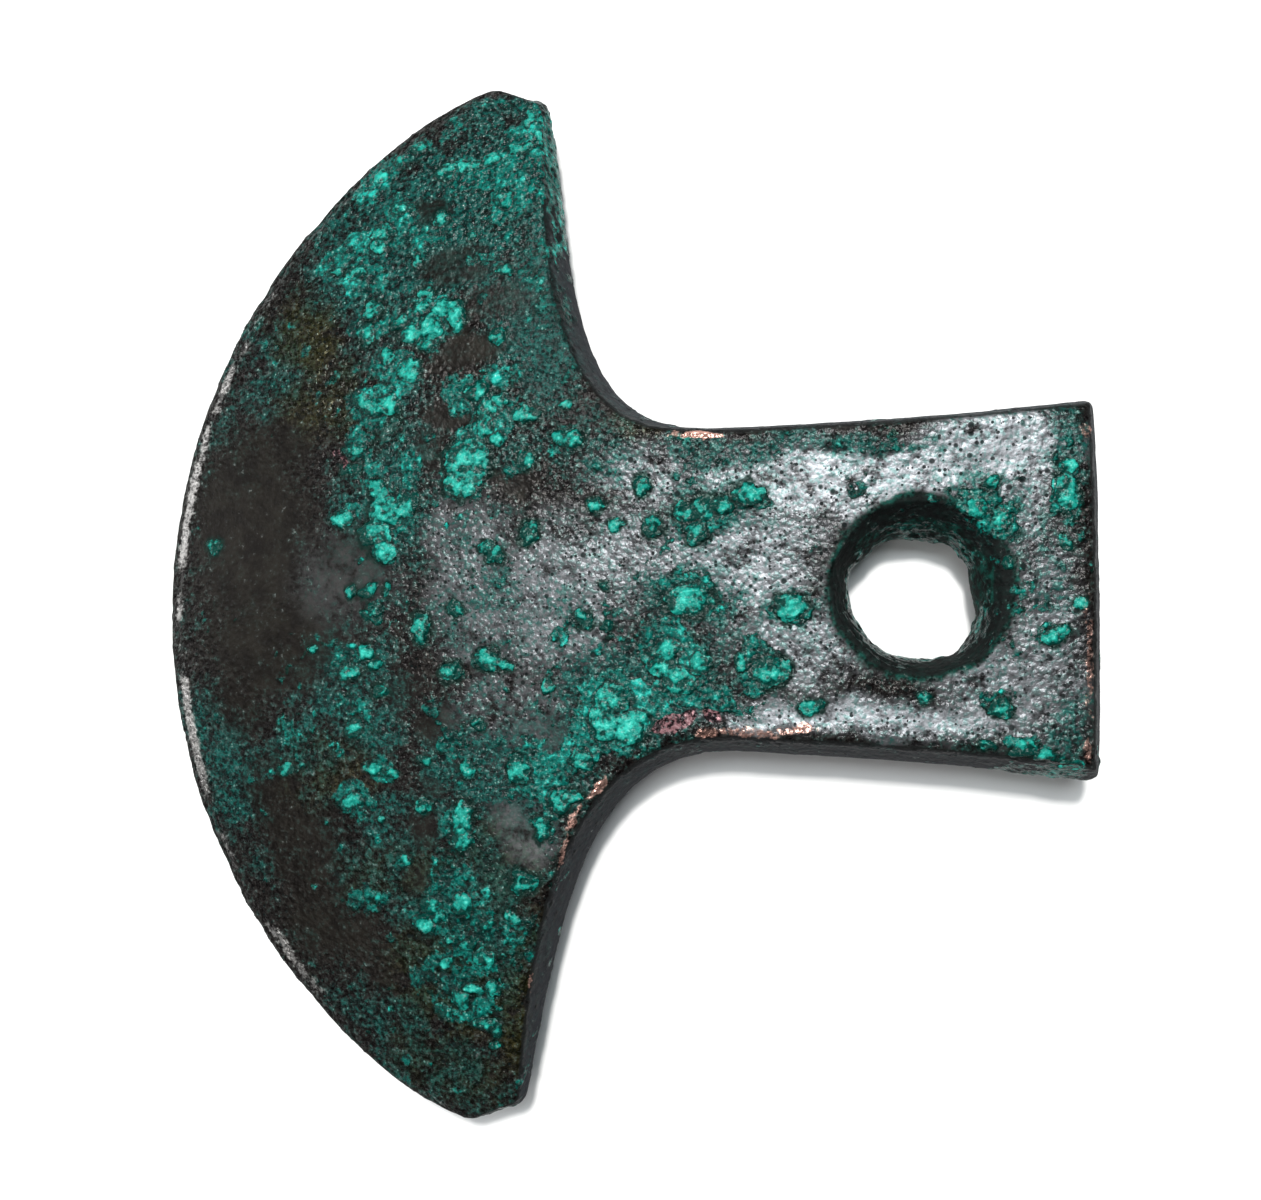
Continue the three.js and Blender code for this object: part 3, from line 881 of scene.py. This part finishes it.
body_places = places_of(body_mesh)
body_normals = normals_of(body_mesh)
body_tones = tones(body_places, body_normals)
body_upper, body_under = sides_of(body_normals)
body_tones["halo"], body_tones["foot_shade"] = halo_of(body_places)
body_tones["halo"] *= body_upper
body_tones["foot_shade"] *= body_upper
# The arrises and the rolled lip of the hole get a painted shade line.
arris_band = np.exp(-(((np.abs(body_normals[:, 2]) - 0.70) / 0.22) ** 2))
crumbled = strayed(body_places, 3.0, 0.45, 921)
hole_reach = np.hypot(crumbled[:, 0] - HOLE_CENTRE[0], crumbled[:, 1] - HOLE_CENTRE[1])
hole_lip_shade = smooth_step(9.0, 9.8, hole_reach) * (1 - smooth_step(11.0, 12.3, hole_reach))
off_hole = hole_reach > HOLE_SURROUND
body_tones["arris"] = np.where(off_hole, arris_band, hole_lip_shade)
body_tones["wall"] = np.clip(1 - body_upper - body_under, 0, 1) * off_hole
body_tones["crest"] = crest_of(body_places)
body_tones["throat"] = 1 - smooth_step(11.2, 13.2, hole_reach)
body_tones["wart"] = np.zeros(len(body_places))
put_tones(body_mesh, body_tones)


def tone(red, green, blue):
    return (red, green, blue, 1.0)


# The patina's tones, with painted sheen, painted glints, painted highlights and painted shade
# among them. Where there are two, the first lies in hollows and the second on grains.
BRONZE = tone(0.004, 0.003, 0.003), tone(0.022, 0.019, 0.017)
SMOOTH_BRONZE = tone(0.005, 0.004, 0.003), tone(0.014, 0.012, 0.009)
OLIVE_BRONZE = tone(0.005, 0.006, 0.002), tone(0.036, 0.030, 0.009)
# Painted sheen: pale grey for light mirrored by the polished bronze, and its green veil.
POLISHED_SHEEN = tone(0.150, 0.158, 0.170), tone(0.330, 0.340, 0.362)
POLISHED_SHEEN_VEIL = tone(0.050, 0.150, 0.142)
GREEN_STAIN = tone(0.001, 0.011, 0.010), tone(0.004, 0.078, 0.066)
WART_HALO = tone(0.002, 0.018, 0.013)
# Throat: green corrosion with painted shade, nearly black.
THROAT_GREEN_AND_SHADE = tone(0.001, 0.004, 0.003), tone(0.003, 0.052, 0.040)
# Crust and wart tones, partly painted shade in the hollows and painted highlight on top.
CRUST_LOW = tone(0.001, 0.016, 0.014), tone(0.002, 0.096, 0.078)
CRUST_TOP = tone(0.014, 0.390, 0.325)
# Painted shade round the foot of each wart.
WART_FOOT_SHADE = tone(0.001, 0.009, 0.007)
WART_LOW = tone(0.001, 0.034, 0.027), tone(0.007, 0.215, 0.172)
WART_TOP = tone(0.032, 0.440, 0.355)
# Painted glints: pale flecks and lighter grain tops.
GLINT_FLECK = tone(0.170, 0.330, 0.290)
BARE_GLINT = tone(0.085, 0.110, 0.105)
PIT_BLACK = tone(0.003, 0.008, 0.008)
# Painted shade along the arrises and the hole's lip.
ARRIS_SHADE = tone(0.003, 0.004, 0.004)
WALL_BRONZE = tone(0.006, 0.007, 0.009), tone(0.026, 0.029, 0.036)
SCAR_PURPLE = tone(0.006, 0.003, 0.004), tone(0.200, 0.100, 0.110)
WORN_METAL = tone(0.42, 0.41, 0.40)
COPPER = tone(0.26, 0.110, 0.080), tone(0.66, 0.42, 0.36)

BRONZE_SPECULAR = 0.15
SMOOTH_ROUGHNESS = 0.40
DULL_ROUGHNESS = 0.55
POLISHED_ROUGHNESS = 0.46
EDGE_ROUGHNESS = 0.80
PIT_ROUGHNESS = 0.85
POLISHED_METAL = 0.45
# Heights in mm of the grains, the finer grains, the mottling, the specks and the pits.
GRAIN, FINE_GRAIN, MOTTLING, SPECKS, PIT_DEPTH = 0.22, 0.08, 0.16, 0.15, 0.10

bronze_material = bpy.data.materials.new("patinated_bronze")
bronze_material.use_nodes = True
patina = bronze_material.node_tree
patina.nodes.clear()


def add_node(kind, inputs=None, **settings):
    """A node of the patina, with each input linked to another node or set to a value."""
    made = patina.nodes.new(kind)
    for name, value in settings.items():
        setattr(made, name, value)
    for name, value in (inputs or {}).items():
        if isinstance(value, bpy.types.NodeSocket):
            patina.links.new(value, made.inputs[name])
        else:
            made.inputs[name].default_value = value
    return made


def calculate(operation, first, second):
    return add_node("ShaderNodeMath", {0: first, 1: second}, operation=operation).outputs[0]


def joined(operation, values):
    total = values[0]
    for value in values[1:]:
        total = calculate(operation, total, value)
    return total


def plus(*values):
    return joined("ADD", values)


def times(*values):
    return joined("MULTIPLY", values)


def greatest(*values):
    return joined("MAXIMUM", values)


def less(first, second):
    return calculate("SUBTRACT", first, second)


def rest_of(share):
    return less(1.0, share)


def between(value, low, high):
    """0 below low, 1 above high and a smooth rise between."""
    inputs = {"Value": value, "From Min": low, "From Max": high}
    made = add_node("ShaderNodeMapRange", inputs, interpolation_type="SMOOTHSTEP")
    return made.outputs["Result"]


def blend(share, first, second):
    inputs = {0: share, 6: first, 7: second}
    return add_node("ShaderNodeMix", inputs, data_type="RGBA").outputs[2]


def blend_values(share, first, second):
    inputs = {0: share, 2: first, 3: second}
    return add_node("ShaderNodeMix", inputs, data_type="FLOAT").outputs[0]


def graded(value, low, high, dark, light):
    return blend(between(value, low, high), dark, light)


def field(name):
    made = add_node("ShaderNodeAttribute", attribute_name=name, attribute_type="GEOMETRY")
    return made.outputs["Fac"]


object_place = add_node("ShaderNodeTexCoord").outputs["Object"]
in_mm = {0: object_place, "Scale": 1 / MM}
place = add_node("ShaderNodeVectorMath", in_mm, operation="SCALE").outputs["Vector"]


def shader_noise(scale, detail, rough):
    inputs = {"Vector": place, "Scale": scale, "Detail": detail, "Roughness": rough}
    return add_node("ShaderNodeTexNoise", inputs).outputs["Fac"]


def pebbles(scale):
    cells = add_node("ShaderNodeTexVoronoi", {"Vector": place, "Scale": scale})
    return less(0.75, cells.outputs["Distance"])


def scattered(scale, fewest, size, shift):
    """Small round specks: how many to the mm, how rare, how large, and where they start."""
    moved = add_node("ShaderNodeVectorMath", {0: place, 1: (shift, 3.7, 1.9)}, operation="ADD")
    inputs = {"Vector": moved.outputs["Vector"], "Scale": scale}
    cells = add_node("ShaderNodeTexVoronoi", inputs)
    own = add_node("ShaderNodeSeparateColor", {"Color": cells.outputs["Color"]}).outputs[0]
    reach = less(times(less(own, fewest), size), cells.outputs["Distance"])
    return between(reach, -0.04, 0.10)


crust = field("crust")
stain = field("stain")
smooth = field("smooth")
polish_and_sheen = field("polish_and_sheen")
throat = field("throat")
wall = field("wall")
lively = rest_of(times(field("dull"), 0.8))
coarse = rest_of(times(smooth, 0.85))

cloud = shader_noise(0.30, 4.0, 0.6)
mottle = shader_noise(0.9, 4.0, 0.65)
speck = shader_noise(1.6, 2.0, 0.6)
fine = shader_noise(4.6, 2.0, 0.6)
noises = (cloud, mottle, speck, fine)
cloud_sway, mottle_sway, speck_sway, fine_sway = [less(noise, 0.5) for noise in noises]
grains = pebbles(1.15)
fine_grains = pebbles(2.1)
tops = between(plus(grains, times(speck_sway, 0.9)), 0.30, 0.62)

# Bronze: near black in the hollows, a little lighter and browner on the grains, and where it
# is polished, painted with a pale silvery sheen.
bronze = graded(plus(mottle, times(speck_sway, 0.8)), 0.35, 0.70, *BRONZE)
quiet = graded(plus(cloud, times(mottle_sway, 0.4)), 0.30, 0.70, *SMOOTH_BRONZE)
bronze = blend(times(smooth, 0.85), bronze, quiet)
olive = graded(plus(mottle, speck_sway), 0.35, 0.70, *OLIVE_BRONZE)
olive_share = times(field("olive"), between(cloud, 0.30, 0.55))
bronze = blend(olive_share, bronze, olive)
clouding = plus(cloud, times(mottle_sway, 0.7))
sheen_tone = graded(clouding, 0.30, 0.70, *POLISHED_SHEEN)
veil = between(plus(mottle, times(speck_sway, 1.4), times(stain, 0.25)), 0.42, 0.72)
sheen_tone = blend(times(veil, 0.60), sheen_tone, POLISHED_SHEEN_VEIL)
sheen_share = times(polish_and_sheen, plus(0.82, times(tops, 0.18)), between(clouding, 0.22, 0.52))
bronze = blend(sheen_share, bronze, sheen_tone)
glint_share = times(tops, coarse, between(plus(mottle, speck_sway), 0.48, 0.72))
glint_share = times(glint_share, lively, rest_of(sheen_share))

# Green stain between the grains, darkest in the hollows and round the warts. The throat of
# the hole is its green darkened nearly to black by painted shade.
hollows = plus(speck, times(mottle_sway, 1.2), times(fine_sway, 0.6))
stain_share = plus(stain, cloud_sway, times(speck_sway, 1.3), mottle_sway)
stain_share = times(between(stain_share, 0.05, 0.90), coarse, rest_of(times(olive_share, 0.55)))
colour = blend(stain_share, bronze, graded(hollows, 0.32, 0.80, *GREEN_STAIN))
halo_share = between(plus(field("halo"), times(mottle_sway, 1.2)), 0.35, 0.90)
colour = blend(times(halo_share, 0.92), colour, WART_HALO)
throat_share = between(plus(throat, mottle_sway), 0.20, 0.70)
colour = blend(throat_share, colour, graded(mottle, 0.40, 0.70, *THROAT_GREEN_AND_SHADE))

# Teal crust and warts, nearly black green in their hollows and bright on their lumps: partly
# the malachite's own banding, partly painted shade in the hollows and painted highlight on
# the lumps.
height = plus(times(field("crest"), 0.95), times(speck_sway, 1.6), times(mottle_sway, 1.6))
height = plus(height, times(cloud_sway, 1.1), times(less(field("bloom"), 0.5), 0.45))
teal = graded(height, -0.20, 0.42, *CRUST_LOW)
teal = graded(height, 0.36, 1.05, teal, CRUST_TOP)
crust_share = between(plus(crust, times(mottle_sway, 1.3), times(speck_sway, 0.7)), 0.30, 0.66)
colour = blend(crust_share, colour, teal)
# Painted shade: a near black ring round the foot of each wart.
foot_shade = between(plus(field("foot_shade"), times(speck_sway, 1.2)), 0.35, 0.85)
colour = blend(times(foot_shade, 0.80), colour, WART_FOOT_SHADE)
wart = graded(height, -0.10, 0.45, *WART_LOW)
wart = graded(height, 0.45, 1.10, wart, WART_TOP)
wart_share = plus(field("wart"), times(speck_sway, 0.9), times(mottle_sway, 0.7))
wart_share = between(wart_share, 0.40, 0.66)
colour = blend(wart_share, colour, wart)

# Painted glints: pale flecks scattered over the corroded ground, and a lighter tone on the
# tops of the grains, where some bare metal also shows. Then small black pits.
glint_flecks = times(scattered(2.1, 0.62, 1.05, 5.3), between(mottle, 0.44, 0.62))
ground = calculate("MINIMUM", plus(stain_share, crust_share, wart_share), 1.0)
glint_flecks = times(glint_flecks, rest_of(times(sheen_share, 0.8)), coarse)
glint_flecks = times(glint_flecks, plus(0.25, times(ground, 0.75)))
colour = blend(times(glint_flecks, 0.75), colour, GLINT_FLECK)
colour = blend(times(glint_share, rest_of(crust_share), 0.45), colour, BARE_GLINT)
pits = greatest(scattered(0.62, 0.25, 0.35, 0.0), scattered(1.50, 0.30, 0.55, 11.3))
pits = times(pits, coarse, rest_of(wart_share))
colour = blend(times(pits, 0.8), colour, PIT_BLACK)

# Painted shade as a dark line along the arrises and round the hole's lip; then the plain
# walls, the scar and the rubbed edges.
arris_shade_share = between(plus(field("arris"), times(mottle_sway, 0.9)), 0.35, 0.80)
colour = blend(times(arris_shade_share, 0.85), colour, ARRIS_SHADE)
colour = blend(times(wall, rest_of(crust_share)), colour, blend(mottle, *WALL_BRONZE))
scar_share = between(plus(field("scar"), times(mottle_sway, 0.9)), 0.35, 0.60)
scar = graded(plus(speck, mottle_sway), 0.42, 0.66, *SCAR_PURPLE)
colour = blend(scar_share, colour, scar)
worn = between(plus(field("worn"), times(speck_sway, 1.4), times(mottle_sway, 1.4)), 0.30, 0.95)
colour = blend(worn, colour, WORN_METAL)
rubbed = between(plus(field("rubbed"), times(speck_sway, 1.3)), 0.35, 0.85)
colour = blend(rubbed, colour, blend(mottle, *COPPER))

green_share = greatest(crust_share, wart_share)
bare = rest_of(green_share)
metal = plus(times(rest_of(stain_share), lively, 0.40), times(glint_share, 0.30))
metal = plus(times(metal, rest_of(sheen_share)), times(sheen_share, POLISHED_METAL))
metal = times(metal, bare, rest_of(wall), rest_of(arris_shade_share))
metal = plus(metal, times(rubbed, 0.6), times(worn, 0.9))
roughness = blend_values(smooth, plus(0.16, times(mottle, 0.24)), SMOOTH_ROUGHNESS)
roughness = blend_values(green_share, roughness, plus(0.12, times(mottle, 0.30)))
roughness = blend_values(lively, DULL_ROUGHNESS, roughness)
roughness = blend_values(times(sheen_share, bare), roughness, POLISHED_ROUGHNESS)
edges = greatest(arris_shade_share, wall, throat)
roughness = blend_values(times(edges, bare), roughness, EDGE_ROUGHNESS)
roughness = blend_values(pits, roughness, PIT_ROUGHNESS)

relief_height = plus(times(grains, GRAIN), times(fine_grains, FINE_GRAIN))
relief_height = plus(relief_height, times(mottle, MOTTLING), times(speck, SPECKS))
bare_relief = times(plus(0.08, times(coarse, 0.75)), rest_of(times(polish_and_sheen, 0.70)))
relief_height = times(relief_height, plus(times(bare, bare_relief), green_share))
relief_height = less(relief_height, times(pits, PIT_DEPTH))
bump_inputs = {"Strength": 1.0, "Distance": MM, "Height": relief_height}
surface_inputs = {
    "Base Color": colour,
    "Metallic": calculate("MINIMUM", metal, 1.0),
    "Roughness": roughness,
    "Specular IOR Level": BRONZE_SPECULAR,
    "Normal": add_node("ShaderNodeBump", bump_inputs).outputs["Normal"],
}
surface = add_node("ShaderNodeBsdfPrincipled", surface_inputs)
add_node("ShaderNodeOutputMaterial", {"Surface": surface.outputs["BSDF"]})

put_places(body_mesh, body_places * MM)
body_mesh.shade_smooth()
body_mesh.materials.clear()
body_mesh.materials.append(bronze_material)
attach(body, "root")
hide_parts("axe_head")

# The malachite crust. Teal corrosion grown out of the bronze: thin lumpy sheets over much
# of the blade, and harder warts that stand up to 0.6 mm proud. It is modelled as a fine
# skin that rises out of the upper face and sinks back into it at its rims.
CRUST_GRID = 0.21
CRUST_SUNK = 0.05
CRUST_SHOWN = -0.012
WART_ROOM = 0.04
# How far the sheets reach to each side, how far they stay off the cutting edge, how level
# a face has to be to carry them, and where the search for that face starts and ends.
SHEET_REACH = 67.4
EDGE_CLEAR = 0.6
FLAT_ENOUGH = 0.45
PROBE_TOP, PROBE_LENGTH = 14.0, 8.5
body_tree = BVHTree.FromPolygons(
    body_places.tolist(), [tuple(p.vertices) for p in body_mesh.polygons]
)


def wart_relief(places):
    """Height in mm of the raised spots, how far each place belongs to one, and how near
    its top it lies."""
    close = strayed(places, 2.6, 0.60, 201)
    rise = np.zeros(len(places))
    share = np.zeros(len(places))
    top = np.zeros(len(places))
    for number, (spot, half_across, half_down, height) in enumerate(wart_spots):
        near, away = nearby(close, spot, half_across, half_down, 0, 1.5)
        dome = 1 - smooth_step(0.45, 1.08, away)
        ring = np.exp(-(((away - 0.62) / 0.20) ** 2)) * (0.25 if number % 3 else 0.7)
        shape = height * np.minimum(0.75 * dome + ring * dome, 1.2)
        rise[near] = np.maximum(rise[near], shape)
        share[near] = np.maximum(share[near], 1 - smooth_step(0.85, 1.12, away))
        top[near] = np.maximum(top[near], 1 - smooth_step(0.30, 1.00, away))
    return rise, share, top


def crust_sheet(name, low_y, high_y):
    """One sheet of crust on the upper face, between two lines across the blade."""
    across = np.arange(-SHEET_REACH, SHEET_REACH, CRUST_GRID)
    along = np.arange(low_y, high_y + CRUST_GRID / 2, CRUST_GRID)
    grid_x, grid_y = np.meshgrid(across, along, indexing="ij")
    heights = np.full(grid_x.shape, np.nan)
    level = np.zeros(grid_x.shape)
    inside = inward_of(np.stack([grid_x.ravel(), grid_y.ravel()], axis=1)) > EDGE_CLEAR
    down = Vector((0, 0, -1))
    for index in np.flatnonzero(inside):
        row, column = divmod(int(index), grid_x.shape[1])
        start = Vector((grid_x[row, column], grid_y[row, column], PROBE_TOP))
        hit, normal, _, _ = body_tree.ray_cast(start, down, PROBE_LENGTH)
        if hit is not None and normal.z > FLAT_ENOUGH:
            heights[row, column] = hit.z
            level[row, column] = normal.z
    found = np.isfinite(heights)
    places = np.stack([grid_x[found], grid_y[found], heights[found]], axis=1)
    normals = np.zeros_like(places)
    normals[:, 2] = 1.0
    fields = tones(places, normals)
    rise, share, top = wart_relief(places)
    clumps, lumps, beads = lumps_of(places)
    wrinkle = 1 - np.abs(layered_noise(places, 1.5, 3, 611, 0.6)) * 2
    crust = fields["crust"]
    thick = crust * (0.01 + 0.17 * clumps + 0.20 * lumps + 0.09 * beads + 0.06 * wrinkle)
    thick = np.maximum(thick, rise * 0.9) + share * (0.10 * wrinkle + 0.07 * beads + 0.08 * lumps)
    crease = 1 - np.abs(layered_noise(places, 2.7, 3, 641, 0.6)) * 2
    # Each wart's tone is lighter in its middle and darker at its rim: painted highlight and shade.
    crest = crest_of(places) + share * (0.32 * wrinkle + 0.30 * crease + 0.50 * top - 0.44)
    crest = np.clip(crest, -0.3, 1)
    fade = smooth_step(0.5, 0.9, level[found]) * smooth_step(0.6, 2.4, inward_of(places))
    lift = thick * fade - CRUST_SUNK
    places[:, 2] = np.minimum(places[:, 2] + lift, HIGHEST + WART_ROOM)
    shown = np.zeros(grid_x.shape, bool)
    shown[found] = lift > CRUST_SHOWN
    number = np.full(grid_x.shape, -1)
    number[found] = np.arange(len(places))
    corners, shown_corners = [
        (grid[:-1, :-1], grid[1:, :-1], grid[1:, 1:], grid[:-1, 1:]) for grid in (number, shown)
    ]
    whole = np.all([corner >= 0 for corner in corners], axis=0)
    kept = whole & np.any(shown_corners, axis=0)
    faces = np.stack([corner[kept] for corner in corners], axis=1)
    used, faces = np.unique(faces, return_inverse=True)
    faces = faces.reshape(-1, 4)
    mesh = bpy.data.meshes.new(name)
    mesh.from_pydata((places[used] * MM).tolist(), [], faces.tolist())
    fields["halo"] = np.ones(len(places))
    fields["foot_shade"] = halo_of(places)[1]
    for absent in ("arris", "wall", "throat"):
        fields[absent] = np.zeros(len(places))
    fields["crest"] = crest
    fields["wart"] = share
    put_tones(mesh, {key: values[used] for key, values in fields.items()})
    mesh.shade_smooth()
    mesh.materials.append(bronze_material)
    sheet = bpy.data.objects.new(name, mesh)
    scene.collection.objects.link(sheet)
    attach(sheet, "root")
    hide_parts("axe_head")


crust_sheet("malachite_crust_upper", 5.0, 75.0)
crust_sheet("malachite_crust_lower", -75.0, 5.0)

# The table. The axe head lies on a plain white table top, far wider than the photo shows,
# which takes its shadow and a little of its colour.
TABLE_REACH = 3
TABLE_WHITE = 0.82
table_mesh = bpy.data.meshes.new("table")
table_signs = ((-1, -1), (1, -1), (1, 1), (-1, 1))
table_corners = [(TABLE_REACH * x, TABLE_REACH * y, 0) for x, y in table_signs]
table_mesh.from_pydata(table_corners, [], [(0, 1, 2, 3)])
table_top = bpy.data.objects.new("table", table_mesh)
scene.collection.objects.link(table_top)
table_paint = bpy.data.materials.new("table_white")
table_paint.use_nodes = True
paint = table_paint.node_tree.nodes["Principled BSDF"]
paint.inputs["Base Color"].default_value = tone(TABLE_WHITE, TABLE_WHITE, TABLE_WHITE)
paint.inputs["Roughness"].default_value = 0.9
paint.inputs["Specular IOR Level"].default_value = 0.1
table_mesh.materials.append(table_paint)

# The light. A wide soft lamp over the far side lays the pale sheen on the tang, and a weak
# one fills the near side. A long low lamp beyond the cutting edge draws the bright streak
# along it, and a small strong lamp gives the shadow its edge. Each lamp has a name, a place
# and an aim in mm, a width and a depth in mm, a power in watts and a tint.
LAMPS = (
    ("sheen_lamp", (80, 330, 900), (20, 0, 0), 600, 400, 4.8, (0.92, 1.0, 1.03)),
    ("fill_lamp", (-430, -380, 800), (-40, -40, 0), 460, 420, 1.8, (1.0, 0.98, 0.96)),
    ("edge_lamp", (-840, 140, 450), (-60, 0, 6), 190, 1200, 2.6, (1.0, 1.0, 1.0)),
    ("key_lamp", (40, 440, 900), (0, 0, 0), 120, 120, 11.0, (1.0, 0.98, 0.95)),
)
ROOM_STRENGTH = 0.06

for lamp_name, lamp_place, aim, width, depth, power, tint in LAMPS:
    lamp_data = bpy.data.lights.new(lamp_name, "AREA")
    lamp_data.shape = "RECTANGLE"
    lamp_data.size = width * MM
    lamp_data.size_y = depth * MM
    lamp_data.energy = power
    lamp_data.color = tint
    lamp = bpy.data.objects.new(lamp_name, lamp_data)
    away = (Vector(lamp_place) - Vector(aim)).normalized()
    lamp_turn = away.to_track_quat("Z", "Y").to_matrix().to_4x4()
    lamp.matrix_world = Matrix.Translation(Vector(lamp_place) * MM) @ lamp_turn
    scene.collection.objects.link(lamp)

world = bpy.data.worlds.new("room")
world.use_nodes = True
background = world.node_tree.nodes["Background"]
background.inputs["Color"].default_value = tone(0.9, 0.95, 1.0)
background.inputs["Strength"].default_value = ROOM_STRENGTH
scene.world = world
scene.view_settings.view_transform = "Standard"
